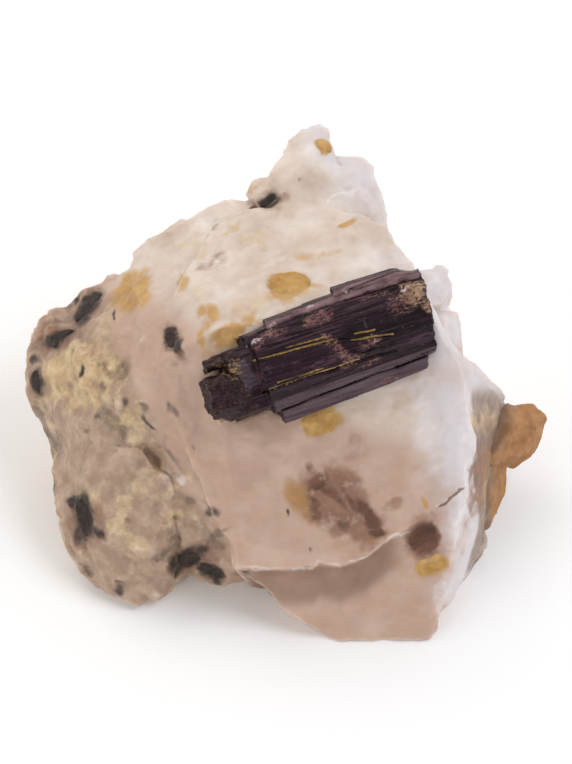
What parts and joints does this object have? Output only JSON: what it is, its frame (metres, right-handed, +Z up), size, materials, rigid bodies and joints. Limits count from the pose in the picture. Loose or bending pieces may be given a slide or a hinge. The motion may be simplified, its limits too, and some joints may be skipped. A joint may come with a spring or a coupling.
{
  "type": "painite crystal on calcite matrix",
  "caption": "Dark columnar painite crystal lying on a loose, flat-bottomed piece of pale calcite matrix with ochre, brown and dark mineral grains.",
  "frame": {"origin": "centre of the bounding box, on the surface that the flat broken underside rests on", "axes": "+Z up, +X to the right along the longest side when the display face with the crystal is seen from the front, +Y to the back"},
  "size_m": [0.0341, 0.0278, 0.0217],
  "materials": {
    "calcite": "broken cleavage, waxy to pearly",
    "painite": "glossy, striated along its length",
    "ochre_mineral": "dull, rough",
    "brown_mineral": "dull, rough",
    "dark_mineral": "dull, rough"
  },
  "bodies": {
    "root": {"calcite_matrix": "calcite", "painite_crystal": "painite", "ochre_mass": "ochre_mineral", "ochre_grain_above": "ochre_mineral", "ochre_grain_below": "ochre_mineral", "ochre_grain_peak": "ochre_mineral", "ochre_sliver": "ochre_mineral", "brown_grain": "brown_mineral", "dark_grain_shoulder": "dark_mineral", "dark_grain_band": "dark_mineral", "dark_grain_edge": "dark_mineral", "dark_grain_flank": "dark_mineral", "dark_grain_foot": "dark_mineral", "dark_grain_toe": "dark_mineral", "dark_grain_middle": "dark_mineral", "dark_grain_back": "dark_mineral"}
  },
  "joints": []
}
